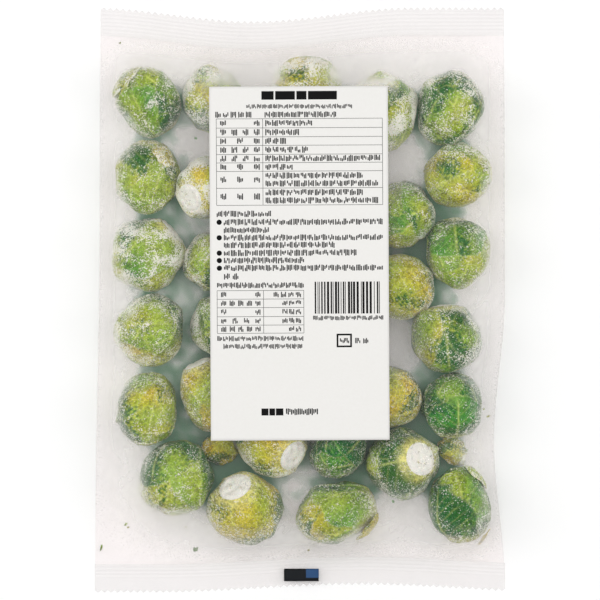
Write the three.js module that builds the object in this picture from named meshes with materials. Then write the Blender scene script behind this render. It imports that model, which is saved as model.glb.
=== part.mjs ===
// A flat pillow bag of frozen whole Brussels sprouts, lying on its back with its label up.
//
// One web of clear film makes the bag. It is folded round into a tube, welded to itself along a fin down
// the middle of the back, and welded flat and cut with a zigzag at both ends. A closed bag would be a
// sealed cavity, so the web is parted here along its two side folds into a front and a back panel, and
// each welded end is a strip of its own. The sprouts lie in a single layer between the panels.
//
// Millimetres, +Z up. X runs across the bag, Y runs up the label. The origin is under the middle of the
// bag, on the surface that it lies on.
import * as THREE from "three";

// ---- driving dimensions ----
const BAG_WIDTH = 190; // across the widest end
const BAG_LENGTH = 271; // over the tips of the zigzag ends
const FILM = 0.4; // modelled wall; the real film is about 0.08
const GAP = 0.35; // kept between pieces that touch
const SEAL_LENGTH = 13; // crimped weld at each end
const TOOTH_PITCH = 3; // zigzag cut
const TOOTH_DEPTH = 1.1;
const SEAL_HEIGHT = 2.4; // middle of the end welds above the table
const FOLD_HEIGHT = 8; // middle of the side folds above the table, half way along
const FIN_WIDTH = 11; // back weld, folded flat
const LABEL = { width: 81.7, length: 161.8, thick: 0.4, x: -0.3, y: 16.8, turn: 0.3 };
const CUT_SHARE = 0.9; // a head is cut off square at this share of its half length, where its stem was
const LEAF = 0.9; // thickness of a loose leaf

const degrees = Math.PI / 180;
const { lerp } = THREE.MathUtils;
const clamp01 = (t) => Math.min(1, Math.max(0, t));
const smooth = (t) => t * t * (3 - 2 * t);
// 1 at the middle, falling smoothly to 0 one reach away on either side
const bell = (t, middle, reach) => 1 - smooth(clamp01(Math.abs(t - middle) / reach));

// ---- the bag's outline, seen from above ----
// The sides run a little closer together at the label end, and are drawn in beside the lowest sprouts.
const leftEdge = (y) => -BAG_WIDTH / 2 + 2.7 * (y / BAG_LENGTH + 0.5) + 0.9 * bell(y, 20, 120);
const rightEdge = (y) => BAG_WIDTH / 2 - 0.6 * (y / BAG_LENGTH + 0.5) - 5.2 * bell(y, -66, 68);
// Each end's tips: the label end dips where the film bows up over the fill, the other end bows slightly.
const topEdge = (x) => BAG_LENGTH / 2 - 6.4 * bell(x, -22, 74);
const bottomEdge = (x) => -BAG_LENGTH / 2 + 3.6 * bell(x, 28, 92);
const topWeld = (x) => topEdge(x) - SEAL_LENGTH;
const bottomWeld = (x) => bottomEdge(x) + SEAL_LENGTH;
// Height of the side folds: they drop to the welds at both ends.
const foldHeight = (y) => lerp(SEAL_HEIGHT, FOLD_HEIGHT, smooth(clamp01((121 - Math.abs(y)) / 45)));
// Half of the parting between the panels, measured between the middles of their walls.
const PARTING = (FILM + GAP) / 2;

// ---- the sprouts ----
// Each: x, y of its middle, diameter, length along the stem, and where its cut stem points: the compass
// angle from +X round to +Y, and the angle above level. Up is how far others hold it off the back panel.
const SPROUTS = [
  // the row at the label end
  { x: -69, y: 91.3, d: 28, l: 34.5, stem: [-60, -25] },
  { x: -41.2, y: 92, d: 28.5, l: 31, stem: [-80, -30] },
  { x: 3.2, y: 95, d: 33.5, l: 34, stem: [-95, -20] },
  { x: 37.2, y: 86, d: 32, l: 38, stem: [-92, -30] },
  { x: 69.3, y: 88, d: 30.4, l: 35.8, stem: [-110, -30] },
  // the left column
  { x: -69.3, y: 57, d: 29, l: 35, stem: [80, -15] },
  { x: -69, y: 21.4, d: 33, l: 35, stem: [42, 4] },
  { x: -68.5, y: -13.3, d: 32, l: 32.5, stem: [45, -40] },
  { x: -69.2, y: -49.7, d: 29, l: 34.5, stem: [84, -30] },
  { x: -56, y: -81.7, d: 33, l: 36, stem: [72, -28] },
  // half under the label's left edge
  { x: -43.8, y: 51, d: 28.5, l: 30.5, up: 5, stem: [206, 47] },
  { x: -39.5, y: 17.5, d: 27.5, l: 30, stem: [10, -58] },
  { x: -36, y: -13, d: 27.5, l: 30, stem: [120, -45] },
  { x: -41.2, y: -42.6, d: 29, l: 36.5, stem: [113, 8] },
  // behind the label
  { x: -14.5, y: 64, d: 29, l: 31, stem: [30, -40] },
  { x: 16.5, y: 63, d: 28.5, l: 31, stem: [160, -20] },
  { x: -11, y: 32, d: 28.5, l: 30.5, stem: [250, -45] },
  { x: 18, y: 32, d: 27.5, l: 30, stem: [60, 35] },
  { x: -8, y: 1.5, d: 28, l: 30, stem: [100, -30] },
  { x: 19, y: 1, d: 27, l: 29.5, stem: [300, -50] },
  { x: -12.5, y: -31, d: 28, l: 31, stem: [20, -35] },
  { x: 14, y: -33, d: 28, l: 30.5, stem: [230, -20] },
  // half under the label's right edge
  { x: 46.9, y: 39.5, d: 30.3, l: 31, stem: [30, -45] },
  { x: 47.3, y: 5.2, d: 30.2, l: 31, up: 3, stem: [152, -35] },
  { x: 40, y: -44.2, d: 30, l: 31.5, stem: [200, -30] },
  // the right column
  { x: 72, y: 56.1, d: 29, l: 31.3, stem: [205, -20] },
  { x: 72, y: 22.2, d: 29, l: 33.5, stem: [95, -35] },
  { x: 66.2, y: -17, d: 31.7, l: 32.7, stem: [96, -6] },
  { x: 69, y: -49, d: 28.5, l: 30.3, stem: [-88, -20] },
  { x: 72.2, y: -94, d: 27.8, l: 36.5, stem: [-82, -12] },
  // the rows at the other end
  { x: -13.8, y: -65.5, d: 31, l: 36, stem: [-34, 40] },
  { x: 18, y: -67.8, d: 28, l: 29.5, stem: [60, -50] },
  { x: 48, y: -76.2, d: 32.5, l: 34.5, stem: [18, 56] },
  { x: -24.7, y: -95.2, d: 33, l: 35, stem: [116, 42] },
  { x: 17.3, y: -98, d: 28.8, l: 39.5, stem: [14, -18] },
  // two small ones in the gaps
  { x: -36.5, y: -68.5, d: 15, l: 17, stem: [20, 10] },
  { x: 70.5, y: -68.8, d: 12.6, l: 14.5, stem: [-40, 10] },
];

// Unit vector for a compass angle and an angle above level.
function direction([compass, above]) {
  const a = compass * degrees;
  const e = above * degrees;
  return new THREE.Vector3(Math.cos(a) * Math.cos(e), Math.sin(a) * Math.cos(e), Math.sin(e));
}

// How far a head spans from its middle along n, as an ellipsoid of revolution about its stem.
function span(sprout, n) {
  const along = sprout.axis.dot(n);
  return Math.sqrt((sprout.l / 2) ** 2 * along ** 2 + (sprout.d / 2) ** 2 * (1 - along ** 2));
}

// Distance from a head's middle to its skin in the direction n.
function skinRadius(sprout, n) {
  const along = sprout.axis.dot(n);
  return 1 / Math.sqrt((along / (sprout.l / 2)) ** 2 + (1 - along ** 2) / (sprout.d / 2) ** 2);
}

// Sets each head down on the back panel, and moves apart any two that touch, a little at a time. Those
// well under the label give way first.
function settle(sprouts) {
  const up = new THREE.Vector3(0, 0, 1);
  const between = new THREE.Vector3();
  for (const s of sprouts) {
    s.axis = direction(s.stem);
    const under = Math.max(...[-9, 0, 9].map((dx) => backHeight(s.x + dx, s.y)));
    s.middle = new THREE.Vector3(s.x, s.y, under + FILM / 2 + GAP + span(s, up) + (s.up ?? 0));
    s.give = onLabel([s.x, s.y], -14) ? 1 : 0.1;
  }
  for (let pass = 0; pass < 400; pass++)
    sprouts.forEach((a, i) =>
      sprouts.slice(i + 1).forEach((b) => {
        between.subVectors(b.middle, a.middle);
        const apart = between.length();
        between.normalize();
        const short = span(a, between) + span(b, between) + GAP - apart;
        if (short <= 0) return;
        between.setZ(0).multiplyScalar((short + 0.02) / (a.give + b.give));
        a.middle.addScaledVector(between, -a.give);
        b.middle.addScaledVector(between, b.give);
      }),
    );
}

// A head of revolution about +Y: an ellipse from the crown up to the flat cut, where the stem was.
function sproutGeometry({ d, l }) {
  const rings = 7;
  const cut = Math.acos(-CUT_SHARE);
  const profile = [];
  for (let i = 0; i <= rings; i++) {
    const t = (cut * i) / rings;
    profile.push(new THREE.Vector2((d / 2) * Math.sin(t), (-l / 2) * Math.cos(t)));
  }
  profile[0].x = 0;
  profile.push(new THREE.Vector2(0, (l / 2) * CUT_SHARE));
  return new THREE.LatheGeometry(profile, 12);
}

// ---- sheets ----
// A closed sheet between two grids of points, the outer one over the inner one.
function sheetGeometry(outer, inner) {
  const rows = outer.length;
  const columns = outer[0].length;
  const points = [...outer, ...inner].flat(2);
  const at = (layer, j, i) => (layer * rows + j) * columns + i;
  const faces = [];
  const quad = (a, b, c, d) => faces.push(a, b, c, a, c, d);
  for (let j = 0; j < rows - 1; j++)
    for (let i = 0; i < columns - 1; i++) {
      quad(at(0, j, i), at(0, j, i + 1), at(0, j + 1, i + 1), at(0, j + 1, i));
      quad(at(1, j, i), at(1, j + 1, i), at(1, j + 1, i + 1), at(1, j, i + 1));
    }
  const [top, end] = [rows - 1, columns - 1];
  for (let i = 0; i < end; i++) {
    quad(at(1, 0, i), at(1, 0, i + 1), at(0, 0, i + 1), at(0, 0, i));
    quad(at(0, top, i), at(0, top, i + 1), at(1, top, i + 1), at(1, top, i));
  }
  for (let j = 0; j < top; j++) {
    quad(at(0, j, 0), at(0, j + 1, 0), at(1, j + 1, 0), at(1, j, 0));
    quad(at(1, j, end), at(1, j + 1, end), at(0, j + 1, end), at(0, j, end));
  }
  const geometry = new THREE.BufferGeometry();
  geometry.setAttribute("position", new THREE.Float32BufferAttribute(points, 3));
  geometry.setIndex(faces);
  return geometry;
}

const shares = (count) => Array.from({ length: count + 1 }, (_, i) => i / count);
const raised = (grid, by) => grid.map((row) => row.map(([x, y, z]) => [x, y, z + by]));
const filmGeometry = (grid) => sheetGeometry(raised(grid, FILM / 2), raised(grid, -FILM / 2));

// ---- the back panel ----
// It lies on the table, rises to the folds and the welds over a rim, and steps over the fin.
const RIM = 16;
const FLAT = FILM / 2;
const RELIEF = FIN_WIDTH / 2 + 0.8;
function backHeight(x, y) {
  const fromSide = Math.min(x - leftEdge(y), rightEdge(y) - x);
  const fromEnd = Math.min(topWeld(x) - y, y - bottomWeld(x));
  const side = (foldHeight(y) - PARTING - FLAT) * clamp01(1 - fromSide / RIM) ** 2;
  const end = (SEAL_HEIGHT - PARTING - FLAT) * clamp01(1 - fromEnd / RIM) ** 2;
  const overFin = Math.abs(x) <= RELIEF ? FILM + GAP : 0;
  return FLAT + Math.max(side, end, overFin);
}

function backPanel() {
  const steps = [0, 4, 8, 12, RIM]; // in from each side or weld
  const along = [
    ...[...steps, 40, 70, 100].map((inset) => (x) => bottomWeld(x) + 2 * GAP + inset),
    ...[100, 70, 40, ...steps.toReversed()].map((inset) => (x) => topWeld(x) - 2 * GAP - inset),
  ];
  const across = [
    ...steps.map((inset) => (y) => leftEdge(y) + inset),
    ...[-50, -30, -RELIEF - 1, -RELIEF, RELIEF, RELIEF + 1, 30, 50].map((x) => () => x),
    ...steps.toReversed().map((inset) => (y) => rightEdge(y) - inset),
  ];
  return filmGeometry(
    along.map((yAt) =>
      across.map((xAt) => {
        const x = xAt(yAt(xAt(0)));
        return [x, yAt(x), backHeight(x, yAt(x))];
      }),
    ),
  );
}

// ---- the front panel ----
// A taut skin over whatever lies under it. Its nodes are drawn to the mean of their neighbours and down
// by a little, while every sampled point of the load lifts the facet above it.
const ACROSS = 28;
const ALONG = 36;
const SAG = 0.06;
const frontRim = (y) => foldHeight(y) + PARTING;
const rimNode = (j, i) => j === 0 || i === 0 || j === ALONG || i === ACROSS;

function frontPanel(load, labelSeat) {
  const grid = shares(ALONG).map((v) =>
    shares(ACROSS).map((u) => {
      const rough = (v - 0.5) * (BAG_LENGTH - 2 * SEAL_LENGTH);
      const x = lerp(leftEdge(rough), rightEdge(rough), u);
      const y = lerp(bottomWeld(x) + 2 * GAP, topWeld(x) - 2 * GAP, v);
      return [x, y, v === 0 || v === 1 ? SEAL_HEIGHT + PARTING : frontRim(y)];
    }),
  );
  const seats = load.map((point) => seatOf(point, grid)).filter(Boolean);
  const relax = () => {
    for (let j = 1; j < ALONG; j++)
      for (let i = 1; i < ACROSS; i++) {
        const node = grid[j][i];
        const mean = (grid[j - 1][i][2] + grid[j + 1][i][2] + grid[j][i - 1][2] + grid[j][i + 1][2]) / 4;
        node[2] = onLabel(node) ? labelSeat : Math.max(mean - SAG, frontRim(node[1]));
      }
  };
  const lift = () => {
    let worst = 0;
    for (const { z, nodes } of seats) {
      const height = nodes.reduce((sum, [j, i, share]) => sum + share * grid[j][i][2], 0);
      const short = z + FILM / 2 + GAP - height;
      if (short <= 0) continue;
      worst = Math.max(worst, short);
      const free = nodes.filter(([j, i]) => !rimNode(j, i));
      const total = free.reduce((sum, [, , share]) => sum + share * share, 0);
      if (total > 1e-6) for (const [j, i, share] of free) grid[j][i][2] += (short * share) / total;
    }
    return worst;
  };
  for (let pass = 0; pass < 300; pass++) {
    relax();
    lift();
  }
  for (let pass = 0; pass < 200 && lift() > 0.005; pass++);
  return grid;
}

// The facet of the grid above a point, as its three nodes and the share that each has in it.
function seatOf({ x, y, z }, grid) {
  for (let j = 0; j < ALONG; j++) {
    if (grid[j + 1].every((p) => p[1] < y) || grid[j].every((p) => p[1] > y)) continue;
    for (let i = 0; i < ACROSS; i++)
      for (const corners of [
        [[j, i], [j, i + 1], [j + 1, i + 1]],
        [[j, i], [j + 1, i + 1], [j + 1, i]],
      ]) {
        const [a, b, c] = corners.map(([r, s]) => grid[r][s]);
        const whole = (b[0] - a[0]) * (c[1] - a[1]) - (c[0] - a[0]) * (b[1] - a[1]);
        const toB = ((x - a[0]) * (c[1] - a[1]) - (c[0] - a[0]) * (y - a[1])) / whole;
        const toC = ((b[0] - a[0]) * (y - a[1]) - (x - a[0]) * (b[1] - a[1])) / whole;
        if (toB < -1e-9 || toC < -1e-9 || toB + toC > 1 + 1e-9) continue;
        return { z, nodes: corners.map(([r, s], k) => [r, s, [1 - toB - toC, toB, toC][k]]) };
      }
  }
  return null;
}

// ---- the label ----
const labelTurn = LABEL.turn * degrees;
function onLabel([x, y], margin = 3) {
  const across = (x - LABEL.x) * Math.cos(labelTurn) + (y - LABEL.y) * Math.sin(labelTurn);
  const along = (y - LABEL.y) * Math.cos(labelTurn) - (x - LABEL.x) * Math.sin(labelTurn);
  return Math.abs(across) < LABEL.width / 2 + margin && Math.abs(along) < LABEL.length / 2 + margin;
}

// ---- the welded ends ----
// A strip between the weld line and the zigzag cut, both following the end's curve.
function sealGeometry(edge, inward) {
  const left = leftEdge(edge(-BAG_WIDTH / 2));
  const right = rightEdge(edge(BAG_WIDTH / 2));
  const cut = shares(2 * Math.round(BAG_WIDTH / TOOTH_PITCH)).map((t, i) => {
    const x = lerp(left, right, t);
    return new THREE.Vector2(x, edge(x) + inward * (i % 2 ? 0 : TOOTH_DEPTH));
  });
  const weld = shares(28).reverse().map((t) => {
    const x = lerp(left, right, t);
    return new THREE.Vector2(x, edge(x) + inward * SEAL_LENGTH);
  });
  const outline = new THREE.Shape([...cut, ...weld]);
  const strip = new THREE.ExtrudeGeometry(outline, { depth: 2 * FILM, bevelEnabled: false });
  return strip.translate(0, 0, SEAL_HEIGHT - FILM);
}

// ---- loose leaves ----
// Each lies round a head, towards the given compass angle and angle above level, with its length turned
// from level towards upright, and its tip standing off the head by its flare.
const LEAVES = [
  { head: 0, towards: [137, 22], width: 14, length: 20, turn: 4, flare: 2 },
  { head: 5, towards: [44, 40], width: 9, length: 12, turn: 30, flare: 1.5 },
  { head: 29, towards: [60, 15], width: 9, length: 13, turn: 10, flare: 1.5 },
  { head: 34, towards: [-28, 10], width: 11, length: 15, turn: 20, flare: 1.5 },
];

function leafGeometry({ head, towards, width, length, turn, flare }) {
  const host = SPROUTS[head];
  const out = direction(towards);
  const level = new THREE.Vector3(-out.y, out.x, 0).normalize();
  const spine = level.clone().applyAxisAngle(out, turn * degrees);
  const across = new THREE.Vector3().crossVectors(spine, out);
  const radius = skinRadius(host, out);
  const layer = (offset) =>
    shares(6).map((v) =>
      shares(4).map((u) => {
        const half = (width / 2) * Math.max(0.12, Math.sin(Math.PI * v) ** 0.7);
        const n = out.clone().multiplyScalar(radius);
        n.addScaledVector(spine, (v - 0.5) * length).addScaledVector(across, (2 * u - 1) * half);
        n.normalize();
        return host.middle.clone().addScaledVector(n, skinRadius(host, n) + offset + flare * v * v).toArray();
      }),
    );
  return sheetGeometry(layer(2 * GAP + LEAF), layer(2 * GAP));
}

// ---- materials ----
const plastic = { roughness: 0.3, metalness: 0, transparent: true };
const looks = {
  film: new THREE.MeshStandardMaterial({ ...plastic, color: 0xf1efec, opacity: 0.35 }),
  seal: new THREE.MeshStandardMaterial({ ...plastic, color: 0xf0edea, opacity: 0.6 }),
  paper: new THREE.MeshStandardMaterial({ color: 0xeeece8, roughness: 0.6, metalness: 0 }),
  sprout: new THREE.MeshStandardMaterial({ color: 0x8ba63f, roughness: 0.7, metalness: 0 }),
  leaf: new THREE.MeshStandardMaterial({ color: 0x9bb04a, roughness: 0.7, metalness: 0 }),
};

// ---- assembly ----
const bag = new THREE.Group();
function add(name, geometry, material) {
  const mesh = new THREE.Mesh(geometry, material);
  mesh.name = name;
  bag.add(mesh);
  return mesh;
}

settle(SPROUTS);
SPROUTS.forEach((s, i) => {
  const head = add(`sprout_${String(i + 1).padStart(2, "0")}`, sproutGeometry(s), looks.sprout);
  head.quaternion.setFromUnitVectors(new THREE.Vector3(0, 1, 0), s.axis);
  head.position.copy(s.middle);
});
LEAVES.forEach((leaf, i) => add(`loose_leaf_${i + 1}`, leafGeometry(leaf), looks.leaf));
bag.updateMatrixWorld(true);

// Points all over the load that the front panel has to clear, several to each facet.
const load = [];
for (const mesh of bag.children) {
  const { index, attributes } = mesh.geometry.clone().applyMatrix4(mesh.matrixWorld);
  const corner = (k) => new THREE.Vector3().fromBufferAttribute(attributes.position, index.getX(k));
  for (let k = 0; k < index.count; k += 3) {
    const [a, b, c] = [corner(k), corner(k + 1), corner(k + 2)];
    for (let m = 0; m <= 4; m++)
      for (let n = 0; m + n <= 4; n++)
        load.push(new THREE.Vector3().addScaledVector(a, m / 4).addScaledVector(b, n / 4)
          .addScaledVector(c, (4 - m - n) / 4));
  }
}
const labelSeat = Math.max(...load.filter((p) => onLabel([p.x, p.y])).map((p) => p.z)) + GAP + FILM;
const front = frontPanel(load, labelSeat);
const labelBase = Math.max(...front.flat().filter((p) => onLabel(p, 9)).map((p) => p[2])) + FILM / 2 + GAP;

add("front_panel", filmGeometry(front), looks.film);
add("back_panel", backPanel(), looks.film);
add("top_seal", sealGeometry(topEdge, -1), looks.seal);
add("bottom_seal", sealGeometry(bottomEdge, 1), looks.seal);
const finEnds = [bottomWeld(0) + RIM, topWeld(0) - RIM];
const fin = add("back_fin", new THREE.BoxGeometry(FIN_WIDTH, finEnds[1] - finEnds[0], FILM), looks.seal);
fin.position.set(0, (finEnds[0] + finEnds[1]) / 2, FILM / 2);

const label = add("label", new THREE.BoxGeometry(LABEL.width, LABEL.length, LABEL.thick), looks.paper);
label.rotation.z = labelTurn;
label.position.set(LABEL.x, LABEL.y, labelBase + LABEL.thick / 2);

export default bag;
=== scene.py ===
import math

import bmesh
import bpy
import numpy as np
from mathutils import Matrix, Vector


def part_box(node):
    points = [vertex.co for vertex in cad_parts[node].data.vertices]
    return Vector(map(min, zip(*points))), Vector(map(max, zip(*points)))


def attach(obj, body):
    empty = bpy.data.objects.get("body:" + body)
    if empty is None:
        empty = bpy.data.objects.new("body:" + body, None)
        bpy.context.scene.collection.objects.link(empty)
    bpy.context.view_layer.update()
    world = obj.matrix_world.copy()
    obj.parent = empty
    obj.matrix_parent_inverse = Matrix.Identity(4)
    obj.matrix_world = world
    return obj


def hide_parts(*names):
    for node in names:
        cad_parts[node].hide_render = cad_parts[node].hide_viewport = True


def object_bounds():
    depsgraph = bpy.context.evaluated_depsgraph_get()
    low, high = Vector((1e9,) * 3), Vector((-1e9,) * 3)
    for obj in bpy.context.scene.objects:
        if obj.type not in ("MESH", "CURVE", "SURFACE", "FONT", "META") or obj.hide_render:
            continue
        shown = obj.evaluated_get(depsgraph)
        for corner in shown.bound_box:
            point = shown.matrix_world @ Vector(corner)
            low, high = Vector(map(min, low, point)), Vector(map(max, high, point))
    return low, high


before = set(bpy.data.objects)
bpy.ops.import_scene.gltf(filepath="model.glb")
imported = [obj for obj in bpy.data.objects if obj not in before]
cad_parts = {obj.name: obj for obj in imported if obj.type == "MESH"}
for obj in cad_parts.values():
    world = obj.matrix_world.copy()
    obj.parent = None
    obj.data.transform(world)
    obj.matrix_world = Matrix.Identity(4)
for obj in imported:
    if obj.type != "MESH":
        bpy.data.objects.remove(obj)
cad_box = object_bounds()

# ============================================================
# The studio: a white table top, a large soft light overhead, two soft lights from the sides, and a
# camera that looks straight down from far off, with the bag's length up the frame.
# Lengths are worked out in millimetres, and become metres as a mesh is made.
# ============================================================
MM = 0.001
CAMERA_HEIGHT = 2600.0
SENSOR_WIDTH = 36.0
VIEW_WIDTH, VIEW_PLANE = 276.0, 20.0  # what the frame spans across, and the height at which it does
TABLE_REACH, TABLE_TOP = 4000.0, -0.2


def linear(colour):
    """An sRGB hex colour as linear red, green, blue and alpha 1: each part is ((c + 0.055) / 1.055) ** 2.4,
    or c / 12.92 where it is dark."""
    c = np.array([int(colour[i : i + 2], 16) / 255 for i in (1, 3, 5)])
    return (*np.where(c > 0.04045, ((c + 0.055) / 1.055) ** 2.4, c / 12.92), 1.0)


def node(tree, kind, inputs=None, **settings):
    """Adds a node: kind is its type without the opening ShaderNode, inputs maps an input's name or number
    to another node's output or to a value, and settings are the node's own."""
    made = tree.nodes.new("ShaderNode" + kind)
    for name, value in settings.items():
        setattr(made, name, value)
    for name, value in (inputs or {}).items():
        if isinstance(value, bpy.types.NodeSocket):
            tree.links.new(value, made.inputs[name])
        else:
            made.inputs[name].default_value = value
    return made


def new_material(name):
    """An empty node material with its output: returns the material, its node tree and the output node."""
    material = bpy.data.materials.new(name)
    material.use_nodes = True
    tree = material.node_tree
    tree.nodes.clear()
    return material, tree, tree.nodes.new("ShaderNodeOutputMaterial")


def make_piece(name, points, faces, material, smooth=True):
    """A mesh object from points, or a grid of points, in millimetres, and faces that all have the same
    number of corners. Its place is in its mesh."""
    points, faces = np.asarray(points, float).reshape(-1, 3), np.asarray(faces, np.int32)
    mesh = bpy.data.meshes.new(name)
    corners = faces.shape[1]
    mesh.vertices.add(len(points))
    mesh.vertices.foreach_set("co", (points * MM).ravel())
    mesh.loops.add(faces.size)
    mesh.loops.foreach_set("vertex_index", faces.ravel())
    mesh.polygons.add(len(faces))
    mesh.polygons.foreach_set("loop_start", np.arange(len(faces)) * corners)
    mesh.polygons.foreach_set("use_smooth", np.full(len(faces), smooth))
    mesh.update(calc_edges=True)
    mesh.validate()
    mesh.materials.append(material)
    piece = bpy.data.objects.new(name, mesh)
    bpy.context.scene.collection.objects.link(piece)
    return piece


camera_data = bpy.data.cameras.new("camera")
camera_data.sensor_width = SENSOR_WIDTH
camera_data.lens = SENSOR_WIDTH * (CAMERA_HEIGHT - VIEW_PLANE) / VIEW_WIDTH
camera_data.clip_end = 100.0
camera = bpy.data.objects.new("camera", camera_data)
camera.location = (0, 0, CAMERA_HEIGHT * MM)
bpy.context.scene.collection.objects.link(camera)
bpy.context.scene.camera = camera
bpy.context.scene.view_settings.view_transform = "Standard"
bpy.context.scene.cycles.transparent_max_bounces = 24  # through every wall of film, down and back


def soft_light(name, place, turn, size, watts):
    """A square area light, its side in metres, that shines along its own -Z."""
    data = bpy.data.lights.new(name, "AREA")
    data.size, data.energy = size, watts
    light = bpy.data.objects.new(name, data)
    light.location, light.rotation_euler = place, [math.radians(a) for a in turn]
    bpy.context.scene.collection.objects.link(light)


soft_light("light_over", (0.03, 0.12, 1.10), (-6, 2, 0), 0.9, 4.7)
soft_light("light_left", (-1.0, 0.2, 0.75), (0, -52, 0), 0.8, 3.1)
soft_light("light_right", (1.0, -0.1, 0.75), (0, 52, 0), 0.8, 2.3)
world = bpy.data.worlds.new("studio_air")
world.use_nodes = True
world.node_tree.nodes["Background"].inputs["Color"].default_value = (1, 1, 1, 1)
world.node_tree.nodes["Background"].inputs["Strength"].default_value = 0.56
bpy.context.scene.world = world

# Matt white laminate table top.
table_white, tree, out = new_material("table_matt_white_laminate")
paint = node(tree, "BsdfPrincipled", {"Base Color": linear("#fefefe"), "Roughness": 0.9})
tree.links.new(paint.outputs[0], out.inputs[0])
table_corners = np.array([(-1, -1, 0), (1, -1, 0), (1, 1, 0), (-1, 1, 0)]) * TABLE_REACH + (0, 0, TABLE_TOP)
table = make_piece("table", table_corners, [(0, 1, 2, 3)], table_white, smooth=False)

# ============================================================
# The heads: 37 Brussels sprouts, picked, blanched and frozen whole. Each is a tight ball of cupped
# leaves that all spring from the stem, wrapped one over another. The stem is cut off square, pale and
# woody, and the outer leaves are yellow-green to bottle-green, dusted with frost where the film is off.
# ============================================================
HEAD_ROWS, HEAD_COLUMNS, CUT_ROWS = 84, 160, 12
CUT_SHARE, CAD_CUT_SHARE = 0.87, 0.9  # of the half length, from middle to stem cut: here, and in CAD
HEAD_RADIUS = 15.0  # of an average head, to turn angles on it into mm
RELIEF_ROOM = 0.3  # mm that the ellipsoid is let in, to make room for the leaves' relief
LOWEST = 0.3  # above the table, where a head lies on the back film
LEAVES_ROUND = 9  # outer leaves that show, from inmost to outmost
LEAF_STEP = 0.95  # mm that a leaf's rim stands over the one below
BRANCH_PITCH = 4.6  # mm between side veins, along the midrib
GOLDEN_TURN = math.radians(137.5)

# Leaf greens, from the yellow heart to the bottle-green wrapper, and the paler rib and base.
HEART, MIDDLE, WRAPPER, DEEP = "#c7ae33", "#97ab37", "#3a842d", "#0e5a28"
RIB, BASE, WOOD, WOOD_RING = "#d3da80", "#cdc878", "#f6f4ee", "#b3b04e"


def unit(v):
    """Vectors scaled to length 1, along the last axis."""
    v = np.asarray(v, float)
    return v / np.linalg.norm(v, axis=-1, keepdims=True)


def step(t, low=0.0, high=1.0):
    """0 below low, 1 above high, and 3t^2 - 2t^3 between."""
    t = np.clip((t - low) / (high - low), 0, 1)
    return t * t * (3 - 2 * t)


def ripple(points, size, seed, count=14):
    """Smooth noise, mostly within -1.5 to 1.5: the sum of sine waves of about the wavelength size, each
    along its own direction, over the square root of their count."""
    rng = np.random.default_rng(seed)
    way = unit(rng.normal(size=(count, points.shape[-1])))
    way = way * rng.uniform(0.6, 1.5, (count, 1)) * 2 * np.pi / size
    return np.sin(points @ way.T + rng.uniform(0, 2 * np.pi, count)).sum(-1) / math.sqrt(count)


def corners_of(name):
    """A CAD node's own points, in millimetres."""
    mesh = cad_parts[name].data
    co = np.empty(len(mesh.vertices) * 3)
    mesh.vertices.foreach_get("co", co)
    return co.reshape(-1, 3) / MM


def solid_of(name):
    """A CAD head's middle, stem direction, half length and half width. The stem cut is its largest flat
    facet: the way that most of its area faces."""
    mesh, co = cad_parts[name].data, corners_of(name)
    mesh.calc_loop_triangles()
    index = np.empty(len(mesh.loop_triangles) * 3, np.int32)
    mesh.loop_triangles.foreach_get("vertices", index)
    a, b, c = (co[index.reshape(-1, 3)[:, k]] for k in range(3))
    areas = np.cross(b - a, c - a)
    size = np.linalg.norm(areas, axis=1)
    facing, group = np.unique(np.round(areas / size[:, None], 2), axis=0, return_inverse=True)
    stem = unit(facing[np.argmax(np.bincount(group.ravel(), size))])
    points = np.unique(np.round(co, 3), axis=0)
    along = points @ stem
    half_length = (along.max() - along.min()) / (1 + CAD_CUT_SHARE)
    middle = (points - along[:, None] * stem).mean(0) + stem * (along.min() + half_length)
    off = points - middle
    half_width = np.linalg.norm(off - (off @ stem)[:, None] * stem, axis=1).max()
    return middle, stem, half_length, half_width


def across_stem(stem):
    """Two unit vectors at right angles to the stem and to each other."""
    first = unit(np.cross(stem, (0, 0, 1) if abs(stem[2]) < 0.9 else (1, 0, 0)))
    return first, np.cross(stem, first)


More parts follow.
